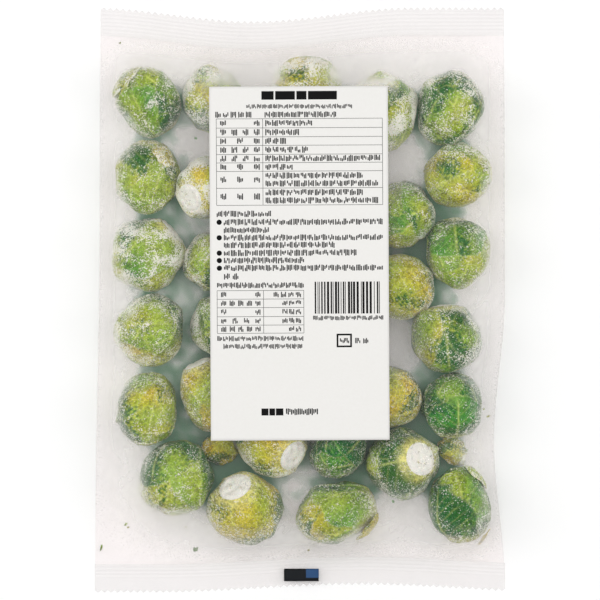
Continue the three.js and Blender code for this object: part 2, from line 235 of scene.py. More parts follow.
def leaf_fields(n, stem, seed, tones):
    """The wrapped leaves over unit directions n: how far the skin stands out, in mm, its tone, ribs
    and rims, and a darkness of its own for each leaf.
    Each leaf is a cap of directions round its own middle, tilted from the stem, with a ragged rim. From
    the inmost out, each covers what is under it, stands LEAF_STEP proud at its rim, and falls back
    within a few mm. Its midrib runs to the stem, with side veins every BRANCH_PITCH."""
    rng = np.random.default_rng(seed)
    first, second = across_stem(stem)
    height = np.zeros(len(n))
    tone = np.full(len(n), tones[0])
    rib = np.zeros(len(n))
    rim = np.zeros(len(n))
    dark = np.full(len(n), 0.5)
    start = rng.uniform(0, 2 * np.pi)
    for k in range(LEAVES_ROUND):
        share = k / (LEAVES_ROUND - 1)
        tilt = math.radians(102 - 36 * share + rng.uniform(-6, 6))
        turn = start + k * GOLDEN_TURN + rng.uniform(-0.2, 0.2)
        outward = math.cos(turn) * first + math.sin(turn) * second
        centre = math.cos(tilt) * stem + math.sin(tilt) * outward
        reach = math.radians(84 - 18 * share + rng.uniform(-5, 5))
        off = np.arccos(np.clip(n @ centre, -1, 1))
        ragged = 0.05 * ripple(n, 0.9, seed * 31 + k) + 0.018 * ripple(n, 0.22, seed * 37 + k)
        inside = (reach * (1 + ragged) - off) * HEAD_RADIUS  # mm in from the rim
        cover = step(inside, -0.25, 0.45)
        spine = unit(centre - (centre @ stem) * stem)
        side = np.cross(stem, spine)
        across = (n @ side) * HEAD_RADIUS
        along = np.arccos(np.clip(n @ stem, -1, 1)) * HEAD_RADIUS
        fade = step(inside, 0.5, 5.0)
        midrib = np.exp(-((across / (0.45 + 0.9 * np.exp(-along / 9))) ** 2)) * fade
        branch = (along - 0.85 * np.abs(across) + 0.5 * ripple(n, 0.5, seed * 41 + k)) / BRANCH_PITCH
        vein = np.exp(-(((branch - np.round(branch)) * BRANCH_PITCH / 0.33) ** 2))
        vein = vein * fade * step(np.abs(across), 0.4, 1.4)
        lift = 0.12 + LEAF_STEP * np.exp(-np.clip(inside, 0, None) / 2.6) + 0.16 * midrib + 0.07 * vein
        lift += 0.16 * ripple(n, 0.55, seed * 43 + k) * fade
        height = height * (1 - 0.86 * cover) + cover * lift
        own = tones[0] + (tones[1] - tones[0]) * share + rng.normal(0, 0.13)
        tone = tone * (1 - cover) + cover * np.clip(own, 0, 1)
        dark = dark * (1 - cover) + cover * rng.uniform(0, 1)
        rib = rib * (1 - cover) + cover * np.maximum(midrib, 0.55 * vein)
        rim = rim * (1 - cover) + cover * np.exp(-((inside / 0.55) ** 2))
    return height, tone, rib, rim, dark


def mix(a, b, share):
    """Colour a turning into b as share goes from 0 to 1."""
    return a + (b - a) * np.clip(share, 0, 1)[:, None]


def rgb(colour):
    """An sRGB hex colour as an array of linear red, green and blue."""
    return np.array(linear(colour)[:3])


def leaf_colour(tone, rib, rim, patch):
    """The green of each point: from heart to wrapper by tone, towards bottle-green by patch, and paler
    along ribs and rims."""
    heart, middle, wrapper, deep, pale = (rgb(c) for c in (HEART, MIDDLE, WRAPPER, DEEP, RIB))
    colour = mix(np.broadcast_to(heart, (len(tone), 3)), middle, tone * 2)
    colour = mix(colour, wrapper, tone * 2 - 1)
    colour = mix(colour, deep, patch)
    colour = mix(colour, pale, 0.5 * rib)
    return mix(colour, pale, 0.42 * rim)


def outwards(points, faces):
    """The faces, turned round if the closed shape's volume, the sum of its faces' corner triple products,
    is negative."""
    a, b, c = (points[faces[:, k]] for k in (0, 1, 2))
    volume = (np.cross(a, b) * c).sum()
    if faces.shape[1] == 4:
        volume += (np.cross(a, c) * points[faces[:, 3]]).sum()
    return faces[:, ::-1] if volume < 0 else faces


def grid_faces(rows, columns, rings=False):
    """Quads of a grid of points, numbered row by row. They face up when its columns run along +X and its
    rows along +Y. Rings join their last column to their first."""
    j, i = np.meshgrid(np.arange(rows - 1), np.arange(columns - (not rings)), indexing="ij")
    right = (i + 1) % columns
    row, next_row = j * columns, (j + 1) * columns
    return np.stack([row + i, row + right, next_row + right, next_row + i], -1).reshape(-1, 4)


def attribute(piece, name, values):
    """Stores one number, or one colour, for each point of the piece."""
    values = np.asarray(values, np.float32)
    kind = "FLOAT" if values.ndim == 1 else "FLOAT_COLOR"
    layer = piece.data.attributes.new(name, kind, "POINT")
    if kind == "FLOAT_COLOR":
        values = np.concatenate([values, np.ones((len(values), 1), np.float32)], 1)
    layer.data.foreach_set("value" if kind == "FLOAT" else "color", values.ravel())


def merge_poles(piece):
    """Merges the points that lie together at the poles, so that the ball is closed."""
    work = bmesh.new()
    work.from_mesh(piece.data)
    bmesh.ops.remove_doubles(work, verts=work.verts, dist=1e-7)
    work.to_mesh(piece.data)
    work.free()


# Frozen leaf: waxy, under a thin even veil of frost and white frost in grains of half a millimetre to a
# millimetre. The frost attribute says how much of both there is. Its green is mottled, deeply in places,
# and less where the pressed attribute says that the film bears on it. A net of fine, lighter veins runs
# through it, with meshes of two to three millimetres, coarser than in a real leaf so that it shows.
frozen_leaf, tree, out = new_material("leaf_frozen_waxy_frosted")
place = node(tree, "TexCoord").outputs["Object"]
green = node(tree, "Attribute", attribute_name="leaf_colour")
frost = node(tree, "Attribute", attribute_name="frost").outputs["Fac"]
blotch = node(tree, "TexNoise", {"Vector": place, "Scale": 620.0, "Detail": 4.0, "Roughness": 0.7})
calm = node(tree, "TexNoise", {"Vector": place, "Scale": 130.0, "Detail": 2.0})
depth = node(tree, "MapRange", {
    "Value": calm.outputs["Fac"], "From Min": 0.4, "From Max": 0.62, "To Min": 0.25, "To Max": 0.65})
pressed = node(tree, "Attribute", attribute_name="pressed")
darkest = node(tree, "Math", {
    0: pressed.outputs["Fac"], 1: 0.3, 2: depth.outputs[0]}, operation="MULTIPLY_ADD")
shade = node(tree, "MapRange", {
    "Value": blotch.outputs["Fac"], "From Min": 0.34, "From Max": 0.66,
    "To Min": darkest.outputs[0], "To Max": 1.06})
warp = node(tree, "TexNoise", {"Vector": place, "Scale": 350.0, "Detail": 2.0})
bent = node(tree, "VectorMath", {
    0: warp.outputs["Color"], 1: (0.004, 0.004, 0.004), 2: place}, operation="MULTIPLY_ADD")
cells = node(tree, "TexVoronoi", {
    "Vector": bent.outputs[0], "Scale": 420.0}, feature="DISTANCE_TO_EDGE")
thread = node(tree, "MapRange", {
    "Value": cells.outputs["Distance"], "From Max": 0.13, "To Min": 0.55, "To Max": 0.0})
lighter = node(tree, "Math", {0: shade.outputs[0], 1: thread.outputs[0]}, operation="ADD")
veined = node(tree, "VectorMath", {
    0: green.outputs["Color"], 3: lighter.outputs[0]}, operation="SCALE")
grains = node(tree, "TexNoise", {"Vector": place, "Scale": 1500.0, "Detail": 1.0, "Roughness": 0.6})
drift = node(tree, "TexNoise", {"Vector": place, "Scale": 300.0, "Detail": 3.0, "Roughness": 0.6})
drifted = node(tree, "Math", {
    0: drift.outputs["Fac"], 1: 0.45, 2: grains.outputs["Fac"]}, operation="MULTIPLY_ADD")
laid = node(tree, "Math", {0: frost, 1: 0.34, 2: drifted.outputs[0]}, operation="MULTIPLY_ADD")
crust = node(tree, "MapRange", {
    "Value": laid.outputs[0], "From Min": 0.87, "From Max": 1.0, "To Max": 0.85},
    interpolation_type="SMOOTHSTEP")
veiled = node(tree, "Math", {
    0: frost, 1: 0.1, 2: crust.outputs[0]}, operation="MULTIPLY_ADD", use_clamp=True)
white = node(tree, "MixRGB", {0: veiled.outputs[0], 1: veined.outputs[0], 2: linear("#eeeee4")})
rough = node(tree, "MapRange", {"Value": crust.outputs[0], "To Min": 0.45, "To Max": 0.85})
height = node(tree, "Math", {0: crust.outputs[0], 1: blotch.outputs["Fac"]}, operation="ADD")
bump = node(tree, "Bump", {"Height": height.outputs[0], "Strength": 0.45, "Distance": 0.0004})
skin = node(tree, "BsdfPrincipled", {
    "Base Color": white.outputs[0], "Roughness": rough.outputs[0], "Normal": bump.outputs[0], "IOR": 1.36,
    "Specular IOR Level": 0.2, "Subsurface Weight": 0.1, "Subsurface Scale": 0.001})
tree.links.new(skin.outputs[0], out.inputs[0])

# What each head is like: tone of its inmost and outmost leaves (0 yellow, 0.5 leaf green, 1 dark
# green), how much bottle-green it has in patches (0 or less: hardly any), and frost (0 bare, 1 crusted).
HEAD_LOOKS = {
    1: (0.45, 0.75, 0.30, 0.40), 2: (0.42, 0.55, 0.12, 0.62), 3: (0.30, 0.42, 0.02, 0.82),
    4: (0.35, 0.50, 0.06, 0.82), 5: (0.60, 0.85, 0.52, 0.44), 6: (0.34, 0.52, 0.14, 0.34),
    7: (0.42, 0.62, 0.10, 0.66), 8: (0.42, 0.65, 0.22, 0.42), 9: (0.35, 0.58, 0.08, 0.28),
    10: (0.34, 0.58, 0.26, 0.28), 11: (0.10, 0.45, 0.08, 0.70), 12: (0.40, 0.60, 0.16, 0.42),
    13: (0.30, 0.55, 0.20, 0.40), 14: (0.00, 0.20, 0.18, 0.26), 23: (0.30, 0.60, 0.14, 0.25),
    24: (0.10, 0.28, -0.06, 0.18), 25: (0.00, 0.40, 0.32, 0.12), 26: (0.40, 0.52, -0.10, 0.24),
    27: (0.40, 0.70, 0.20, 0.25), 28: (0.36, 0.62, 0.40, 0.30), 29: (0.80, 1.00, 0.54, 0.15),
    30: (0.80, 1.00, 0.42, 0.12), 31: (0.00, 0.15, 0.16, 0.26), 32: (0.85, 1.00, 0.58, 0.15),
    33: (0.20, 0.60, 0.38, 0.26), 34: (0.00, 0.34, 0.48, 0.20), 35: (0.36, 0.52, 0.20, 0.26),
    36: (0.10, 0.25, 0.30, 0.10), 37: (0.02, 0.15, 0.10, 0.30),
}
USUAL_LOOKS = (0.3, 0.6, 0.1, 0.3)  # of the heads behind the label
heads = sorted(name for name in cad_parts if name.startswith("sprout_"))
load_points = []  # every point of the fill, for the film to lie on
solids = {}


def make_head(name):
    """One head: rings of directions from the crown to the stem cut, at the radius of an ellipsoid plus the
    leaves' relief, then rings across the cut, which is a low woody disc with a rounded rim."""
    number = int(name[-2:])
    low_tone, high_tone, patches, frosting = HEAD_LOOKS.get(number, USUAL_LOOKS)
    middle, stem, half_length, half_width = solids[name] = solid_of(name)
    first, second = across_stem(stem)
    cut_angle = math.acos(-CUT_SHARE)
    t = np.linspace(0.0, cut_angle, HEAD_ROWS)
    around = np.arange(HEAD_COLUMNS) * 2 * np.pi / HEAD_COLUMNS
    T, A = np.meshgrid(t, around, indexing="ij")
    ring = (np.cos(A)[..., None] * first + np.sin(A)[..., None] * second).reshape(-1, 3)
    T = T.ravel()
    body = (half_width - RELIEF_ROOM) * np.sin(T)[:, None] * ring
    body = body - ((half_length - RELIEF_ROOM) * np.cos(T))[:, None] * stem
    n = unit(body)
    relief, tone, rib, rim, dark = leaf_fields(n, stem, number, (low_tone, high_tone))
    lumps = 0.75 * ripple(n, 1.5, number * 7) + 0.3 * ripple(n, 0.7, number * 11)
    hem = step(cut_angle - T, 0.0, 0.22)  # leaves thin out to nothing at the stem
    outer = body + n * ((relief - 0.15 + lumps * 1.05) * hem)[:, None]
    # The cut: rings shrink to its middle; the wood stands up inside a shallow groove.
    cut_radius = half_width * math.sin(cut_angle)
    inward = np.linspace(0, 1, CUT_ROWS + 1)[1:]
    S, A = np.meshgrid(inward, around, indexing="ij")
    cut_ring = (np.cos(A)[..., None] * first + np.sin(A)[..., None] * second).reshape(-1, 3)
    S = S.ravel()
    edge = np.tile(outer.reshape(HEAD_ROWS, HEAD_COLUMNS, 3)[-1] @ stem, CUT_ROWS)
    crown = -0.45 * np.exp(-(((S - 0.07) / 0.05) ** 2)) + 0.7 * step(S, 0.08, 0.26) + 0.08 * np.cos(S * 40)
    crown += 0.22 * ripple(cut_ring * (1 - S)[:, None], 0.6, number * 13)
    rise = edge * (1 - S) + (half_length * CUT_SHARE - RELIEF_ROOM) * S + crown * step(S, 0.0, 0.15)
    shrink = cut_radius * (1 - RELIEF_ROOM / half_width) * (1 - S)
    face = cut_ring * shrink[:, None] + rise[:, None] * stem
    points = np.concatenate([outer, face]) + middle
    points[:, 2] = np.maximum(points[:, 2], LOWEST)
    faces = outwards(points - middle, grid_faces(HEAD_ROWS + CUT_ROWS, HEAD_COLUMNS, rings=True))
    piece = make_piece(name + "_leaves", points, faces, frozen_leaf)
    tone = np.clip(tone + 0.14 * ripple(n, 1.5, number * 16), 0, 1)
    patch = ripple(n, 1.5, number * 17) + 0.45 * ripple(n, 0.12, number * 19)
    patch = patch + 2.8 * patches + 1.6 * (dark - 0.5)
    patch = patch + 0.9 * (0.7 - n[:, 2])  # bottle-green deepens down the flanks and is least on the tops, by how far each point faces up
    colour = leaf_colour(tone, rib, rim, 0.92 * step(patch, 0.75, 1.75))
    base = step(T, cut_angle - 0.42, cut_angle - 0.02)
    colour = mix(colour, rgb(BASE), base * (0.75 + 0.2 * ripple(n, 0.3, number * 23)))
    grain = np.exp(-(((S - 0.03) / 0.03) ** 2))
    grain = grain + 0.55 * step(ripple(face, 3.4, number * 29), 0.5, 1.4) * step(S, 0.3, 0.7)
    face_colour = mix(np.broadcast_to(rgb(WOOD), (len(S), 3)), rgb(WOOD_RING), grain)
    # Frost gathers down the flanks, clear of the film, and most on the side towards the bag's nearest edge.
    outward = unit(middle[:2] / (95, 135))  # of the bag's half width and half length
    flank = (1 - step(n[:, 2], 0.25, 0.9)) * (0.55 + 0.45 * n[:, :2] @ outward)
    pressed = step(n[:, 2], 0.62, 0.95)
    frost_here = frosting * (0.65 + 0.5 * ripple(n, 0.8, number * 31))
    frost_here *= 1 - 0.35 * (1 - frosting) * pressed
    frost_here += 0.44 * flank + 0.22 * rim
    face_frost = 0.95 - 0.7 * np.clip(grain, 0, 1)
    attribute(piece, "leaf_colour", np.concatenate([colour, face_colour]))
    attribute(piece, "frost", np.concatenate([np.clip(frost_here, 0, 1), face_frost]))
    attribute(piece, "pressed", np.concatenate([pressed, np.zeros(len(face))]))
    merge_poles(piece)
    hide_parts(name)
    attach(piece, "root")
    load_points.append(points)


for head in heads:
    make_head(head)

# ============================================================
# Loose leaves: four torn outer leaves, lying against the heads that they came off. Each is a cupped,
# pointed blade about half a millimetre thick with a ragged rim, a pale midrib and side veins.
# ============================================================
LOOSE = {  # tone, bottle-green patches and frost
    "loose_leaf_1": (0.40, 0.15, 0.55), "loose_leaf_2": (0.15, 0.0, 0.60),
    "loose_leaf_3": (0.50, 0.05, 0.55), "loose_leaf_4": (0.15, 0.05, 0.20),
}
LEAF_ROWS, LEAF_COLUMNS = 60, 40
LEAF_THICKNESS = 0.5
LEAF_BRANCH_PITCH = 3.2


def add_wall(piece, thickness, offset):
    """Gives a surface a wall, in mm: half on each side at offset 0, and all behind it at -1."""
    wall = piece.modifiers.new("wall", "SOLIDIFY")
    wall.thickness, wall.offset = thickness * MM, offset


def make_leaf(name, seed):
    """A blade on a grid: a pointed oval in its own plane, whose half width is a power of a sine along it,
    cupped like part of a ball, with ruffles towards its rim."""
    tone, patches, frosting = LOOSE[name]
    points = np.unique(np.round(corners_of(name), 3), axis=0)
    middle = points.mean(0)
    spread = np.linalg.svd(points - middle, full_matrices=False)[2]
    long, wide, out = spread
    nearest = min(heads, key=lambda h: np.linalg.norm(solids[h][0] - middle))
    if out @ (middle - solids[nearest][0]) < 0:
        out = -out
    off = points - middle
    length, width = np.ptp(off @ long), np.ptp(off @ wide)
    v, u = np.meshgrid(np.linspace(0, 1, LEAF_ROWS), np.linspace(-1, 1, LEAF_COLUMNS), indexing="ij")
    u, v = u.ravel(), v.ravel()
    flat = np.stack([u, v * 2, np.zeros_like(u)], 1)
    oval = np.clip(np.sin(np.pi * np.clip(v, 0.03, 0.97)) ** 0.6, 0.1, 1)
    half = width / 2 * oval * (1 + 0.10 * ripple(flat, 0.7, seed))
    x, y = u * half, (v - 0.5) * length * (1 + 0.05 * ripple(flat, 0.9, seed + 1))
    cup = HEAD_RADIUS - np.sqrt(np.clip(HEAD_RADIUS**2 - x**2 - y**2, 1, None))
    ruffle = 0.55 * ripple(flat, 0.8, seed + 2) * np.abs(u) ** 2
    rib = np.exp(-((x / 0.5) ** 2)) * step(0.97 - v, 0, 0.4)
    branch = (y - 0.8 * np.abs(x)) / LEAF_BRANCH_PITCH
    vein = np.exp(-(((branch - np.round(branch)) * LEAF_BRANCH_PITCH / 0.3) ** 2))
    vein = vein * step(np.abs(x), 0.3, 1.0)
    z = 0.9 - cup + ruffle + 0.2 * rib
    place = middle + x[:, None] * wide + y[:, None] * long + z[:, None] * out
    faces = grid_faces(LEAF_ROWS, LEAF_COLUMNS)
    if np.cross(wide, long) @ out < 0:
        faces = faces[:, ::-1]
    piece = make_piece(name + "_blade", place, faces, frozen_leaf)
    patch = step(ripple(flat, 0.9, seed + 3) + 2.4 * patches - 1.0, 0, 0.8)
    rim = np.exp(-(((1 - np.abs(u)) * half / 0.5) ** 2))
    ribs = np.maximum(rib, 0.6 * vein)
    attribute(piece, "leaf_colour", leaf_colour(np.full(len(u), tone), ribs, rim, patch))
    attribute(piece, "frost", np.clip(frosting + 0.15 * ripple(flat, 0.9, seed + 4) + 0.1 * rim, 0, 1))
    add_wall(piece, LEAF_THICKNESS, -1)
    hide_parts(name)
    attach(piece, "root")
    load_points.append(place)


for number, name in enumerate(sorted(LOOSE)):
    make_leaf(name, 900 + 10 * number)

# ============================================================
# The film: one web of clear, slightly milky polythene, about 0.08 mm thick, drawn tight over the heads and
# flat behind them. It is clear where it lies on a head, and hazy where it stands off. Its front is
# a taut skin: between the heads it spans like a membrane, and small wrinkles run from head to edge.
# ============================================================
BAG_WIDTH, BAG_LENGTH = ((cad_box[1][k] - cad_box[0][k]) / MM for k in (0, 1))
SEAL_LENGTH, SEAL_HEIGHT, FOLD_HEIGHT = 13.0, 2.4, 8.0
FILM_WALL = 0.10  # a little over the real film's
RELAX_PASSES, SKIN_PULL = 700, 0.0016  # steps of the skin's relaxing, and mm that it is drawn down in each
label_low, label_high = (np.array(c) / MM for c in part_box("label"))
LABEL_Z = label_low[2]
UNDER_LABEL = LABEL_Z - 0.25  # height of the film that the paper is stuck to
LABEL_COS, LABEL_SIN = math.cos(math.radians(0.3)), math.sin(math.radians(0.3))  # its slight turn
LABEL_MIDDLE = (label_low + label_high)[:2] / 2
LABEL_SIZE = np.array([81.7, 161.8])


def bell(t, middle, reach):
    """1 at the middle, falling smoothly to 0 one reach away."""
    return 1 - step(np.abs(t - middle) / reach)


# The bag's outline, seen from above, as in CAD: each edge is a straight line, drawn in towards the bag by
# a bell, and the sides lean a little. The side folds fall by a smooth step to the height of the welds.
def left_edge(y):
    return -BAG_WIDTH / 2 + 2.7 * (y / BAG_LENGTH + 0.5) + 0.9 * bell(y, 20, 120)


def right_edge(y):
    return BAG_WIDTH / 2 - 0.6 * (y / BAG_LENGTH + 0.5) - 5.2 * bell(y, -66, 68)


def top_edge(x):
    return BAG_LENGTH / 2 - 6.4 * bell(x, -22, 74)


def bottom_edge(x):
    return -BAG_LENGTH / 2 + 3.6 * bell(x, 28, 92)


def fold_height(y):
    return SEAL_HEIGHT + (FOLD_HEIGHT - SEAL_HEIGHT) * step((121 - np.abs(y)) / 45)


def in_from_folds(x, y):
    """How far a place lies in from the nearer side fold."""
    return np.minimum(x - left_edge(y), right_edge(y) - x)


def in_from_welds(x, y):
    """How far a place lies in from the nearer weld."""
    return np.minimum(top_edge(x) - SEAL_LENGTH - y, y - bottom_edge(x) - SEAL_LENGTH)


def label_place(x, y):
    """A point's place across and along the label, from its middle: turned back by the label's turn."""
    dx, dy = x - LABEL_MIDDLE[0], y - LABEL_MIDDLE[1]
    return dx * LABEL_COS + dy * LABEL_SIN, dy * LABEL_COS - dx * LABEL_SIN


# A square grid over the bag, a millimetre a cell, holds the film's height and the load's.
grid_x = np.arange(-100, 101.0)
grid_y = np.arange(-140, 141.0)
GX, GY = np.meshgrid(grid_x, grid_y)
load_all = np.concatenate(load_points)
load_top = np.full(GX.shape, 0.6)
load_row = np.rint(load_all[:, 1] - grid_y[0]).astype(int)
load_column = np.rint(load_all[:, 0] - grid_x[0]).astype(int)
np.maximum.at(load_top, (load_row, load_column), load_all[:, 2])
beneath = load_top.copy()
for shift in ((0, 1), (0, -1), (1, 0), (-1, 0)):
    beneath = np.maximum(beneath, np.roll(load_top, shift, (0, 1)))
lx, ly = label_place(GX, GY)
under_label = (np.abs(lx) < LABEL_SIZE[0] / 2 + 1) & (np.abs(ly) < LABEL_SIZE[1] / 2 + 1)
from_side, from_end = in_from_folds(GX, GY), in_from_welds(GX, GY)
inset = np.minimum(from_side, from_end)
inside_bag = inset > 0
rim_height = fold_height(GY)


def stretch(height, floor, passes, pull):
    """Relaxes the skin: each point goes to the mean of its four neighbours less a small pull, but not
    below the floor."""
    for _ in range(passes):
        ends = np.roll(height, 1, 0) + np.roll(height, -1, 0)
        mean = (ends + np.roll(height, 1, 1) + np.roll(height, -1, 1)) / 4
        height = np.where(inside_bag, np.maximum(mean - pull, floor), rim_height)
        height = np.where(under_label, UNDER_LABEL, height)
    return height


floor_height = np.where(inside_bag, np.maximum(beneath + 0.18, rim_height), rim_height)
film_top = stretch(floor_height, floor_height, RELAX_PASSES, SKIN_PULL)

# Wrinkles: gathers that run in from the welds, short creases that run out to the side folds, and fine
# crinkle wherever the film hangs free.
spot = np.stack([GX, GY], -1)
hangs_free = step(film_top - beneath, 0.4, 4.0)
gathers = ripple(spot * (1, 0.12), 9.0, 501) + 0.6 * ripple(spot * (1, 0.2), 4.5, 502)
creases = ripple(spot * (0.16, 1), 11.0, 503) + 0.5 * ripple(spot * (0.3, 1), 5.0, 504)
crinkle = ripple(spot, 7.0, 505) + 0.6 * ripple(spot, 3.2, 506)
wrinkles = 0.34 * gathers * np.exp(-np.clip(from_end, 0, None) / 16) + 0.10 * crinkle
wrinkles += 0.28 * creases * np.exp(-np.clip(from_side, 0, None) / 9)
wrinkles *= hangs_free * step(inset, 0.0, 4.0)
# A fold is pressed in beside the right edge.
wrinkles += 0.22 * np.exp(-(((right_edge(GY) - GX - 3.2) / 0.9) ** 2))
film_top = np.where(inside_bag, np.maximum(film_top + wrinkles, floor_height), rim_height)
film_top = np.where(under_label, UNDER_LABEL, film_top)
stand_off = film_top - load_top  # how far the film stands off what is under it
slope_y, slope_x = np.gradient(film_top)
tilt = np.hypot(slope_x, slope_y)  # rise over run
# How closely the heads crowd round each place, from 0 to 1, over about 2 cm.
crowd = (load_top > 6).astype(float)
for shift in range(1, 5):
    for axis in (0, 1):
        crowd = (np.roll(crowd, 2 * shift, axis) + crowd + np.roll(crowd, -2 * shift, axis)) / 3
# Haze deepens as the film leaves the fill and where it runs steeply, and is rubbed clear where the heads
# crowd. Rime gathers where the film stands a few millimetres off, and where it is steep.
haze_field = 0.004 + 0.07 * step(stand_off, 1.0, 12.0)
haze_field += 0.26 * step(tilt, 0.25, 1.3) * step(stand_off, 0.3, 3.5)
haze_field *= (1 - 0.8 * step(crowd, 0.6, 0.85)) * (0.3 + 0.7 * step(inset, 1.0, 12.0))
rime_field = 0.22 * step(stand_off, 1.5, 5.0) * step(-stand_off, -16.0, -7.0)
rime_field = rime_field + 0.10 * step(tilt, 0.4, 1.4) - 0.06


def read(field, x, y):
    """The field at any point, straight-line between its four nearest cells."""
    fx = np.clip(x - grid_x[0], 0, len(grid_x) - 1.001)
    fy = np.clip(y - grid_y[0], 0, len(grid_y) - 1.001)
    i, j = fx.astype(int), fy.astype(int)
    a, b = fx - i, fy - j
    return ((1 - b) * ((1 - a) * field[j, i] + a * field[j, i + 1])
            + b * ((1 - a) * field[j + 1, i] + a * field[j + 1, i + 1]))


def plan(across, along):
    """The place seen from above of a share across the bag and a share along it between the welds."""
    rough = (along - 0.5) * (BAG_LENGTH - 2 * SEAL_LENGTH)
    x = left_edge(rough) + (right_edge(rough) - left_edge(rough)) * across
    low, high = bottom_edge(x) + SEAL_LENGTH, top_edge(x) - SEAL_LENGTH
    return x, low + (high - low) * along


def film_material(name, tint, clearness):
    """Polythene film: smooth, with a soft gloss. The haze attribute is the share of it that is milky white
    and not clear, the rime attribute how near the specks of rime on its inside come to showing, and the
    third attribute, of painted shade, how far it is painted grey-green for the shadow and green light
    between crowded heads. It throws no shadow, so the fill is lit as through clear film."""
    material, tree, out = new_material(name)
    place = node(tree, "TexCoord").outputs["Object"]
    haze = node(tree, "Attribute", attribute_name="haze").outputs["Fac"]
    rime_band = node(tree, "Attribute", attribute_name="rime").outputs["Fac"]
    specks = node(tree, "TexNoise", {"Vector": place, "Scale": 1150.0, "Detail": 2.0, "Roughness": 0.6})
    more = node(tree, "Math", {0: specks.outputs["Fac"], 1: rime_band}, operation="ADD")
    rime = node(tree, "MapRange", {
        "Value": more.outputs[0], "From Min": 0.70, "From Max": 0.98, "To Max": 0.4},
        interpolation_type="SMOOTHSTEP")
    cover = node(tree, "Math", {0: haze, 1: rime.outputs[0]}, operation="MAXIMUM")
    ripples = node(tree, "TexNoise", {"Vector": place, "Scale": 220.0, "Detail": 3.0, "Roughness": 0.5})
    bump = node(tree, "Bump", {"Height": ripples.outputs["Fac"], "Strength": 0.2, "Distance": 0.0004})
    painted_gap_shade = node(tree, "Attribute", attribute_name="painted_gap_shade").outputs["Fac"]
    colour = node(tree, "MixRGB", {0: painted_gap_shade, 1: linear(tint), 2: linear(PAINTED_GAP_SHADE)})
    clear = node(tree, "BsdfTransparent", {"Color": linear(clearness)})
    lit = node(tree, "BsdfPrincipled", {
        "Base Color": colour.outputs[0], "Roughness": 0.4, "IOR": 1.5, "Normal": bump.outputs[0]})
    through = node(tree, "BsdfTranslucent", {"Color": colour.outputs[0]})
    milk = node(tree, "MixShader", {0: 0.3, 1: lit.outputs[0], 2: through.outputs[0]})
    body = node(tree, "MixShader", {0: cover.outputs[0], 1: clear.outputs[0], 2: milk.outputs[0]})
    gloss = node(tree, "BsdfGlossy", {"Roughness": 0.3, "Normal": bump.outputs[0]})
    slant = node(tree, "LayerWeight", {"Blend": 0.5})
    steep = node(tree, "Math", {0: slant.outputs["Facing"], 1: 3.0}, operation="POWER")
    share = node(tree, "MapRange", {"Value": steep.outputs[0], "To Min": 0.008, "To Max": 0.09})
    skin = node(tree, "MixShader", {0: share.outputs[0], 1: body.outputs[0], 2: gloss.outputs[0]})
    ray = node(tree, "LightPath")
    unshaded = node(tree, "BsdfTransparent", {"Color": (1, 1, 1, 1)})
    film = node(tree, "MixShader", {
        0: ray.outputs["Is Shadow Ray"], 1: skin.outputs[0], 2: unshaded.outputs[0]})
    tree.links.new(film.outputs[0], out.inputs[0])
    return material


PAINTED_GAP_SHADE = "#62a07a"  # painted shade, grey-green: the shadow and green light between crowded heads
NO_RIME = -0.3  # low enough that no speck shows
polythene = film_material("film_polythene_clear_hazy", "#fdfbfa", "#fefdfd")

COLUMNS, ROWS = 150, 200
U, V = np.meshgrid(np.linspace(0, 1, COLUMNS), np.linspace(0, 1, ROWS))
FX, FY = plan(U, V)
FZ = read(film_top, FX, FY)
FZ[:, 0], FZ[:, -1] = fold_height(FY[:, 0]), fold_height(FY[:, -1])
FZ[0], FZ[-1] = SEAL_HEIGHT, SEAL_HEIGHT
film_front = make_piece("film_front", np.stack([FX, FY, FZ], -1), grid_faces(ROWS, COLUMNS), polythene)
attribute(film_front, "haze", read(haze_field, FX, FY).ravel())
attribute(film_front, "rime", read(rime_field, FX, FY).ravel())
add_wall(film_front, FILM_WALL, 0)
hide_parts("front_panel")
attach(film_front, "root")

# The back of the web lies flat on the table, over the fin, and turns up to the folds and the welds.
BACK_HEIGHT = 0.1  # above the table
UPTURN = 16.0  # mm from the rim over which the back turns up
BACK_DROP = 0.05  # the back's rim lies this far below the front's
BACK_COLUMNS, BACK_ROWS = 90, 120
U, V = np.meshgrid(np.linspace(0, 1, BACK_COLUMNS), np.linspace(0, 1, BACK_ROWS))
BX, BY = plan(U, V)
to_fold = (fold_height(BY) - BACK_HEIGHT) * np.clip(1 - in_from_folds(BX, BY) / UPTURN, 0, 1) ** 2
to_weld = (SEAL_HEIGHT - BACK_HEIGHT) * np.clip(1 - in_from_welds(BX, BY) / UPTURN, 0, 1) ** 2
over_fin = 0.5 * step(7.5 - np.abs(BX), 0, 1.5)
BZ = BACK_HEIGHT + np.maximum.reduce([to_fold, to_weld, over_fin])
BZ[:, 0], BZ[:, -1] = fold_height(BY[:, 0]) - BACK_DROP, fold_height(BY[:, -1]) - BACK_DROP
BZ[0], BZ[-1] = SEAL_HEIGHT - BACK_DROP, SEAL_HEIGHT - BACK_DROP
faces = grid_faces(BACK_ROWS, BACK_COLUMNS)[:, ::-1]
film_back = make_piece("film_back", np.stack([BX, BY, BZ], -1), faces, polythene)
# Painted shade: wherever the heads lie close, the back film is made hazy and grey-green, for the shadow and
# green light between them.
painted_gap_shade = step(read(crowd, BX, BY) + 0.06 * ripple(np.stack([BX, BY], -1), 9.0, 520), 0.54, 0.84).ravel()
attribute(film_back, "haze", 0.02 + 0.85 * painted_gap_shade)
attribute(film_back, "painted_gap_shade", painted_gap_shade)
attribute(film_back, "rime", np.full(BX.size, NO_RIME))
add_wall(film_back, FILM_WALL, 0)
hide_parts("back_panel")
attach(film_back, "root")

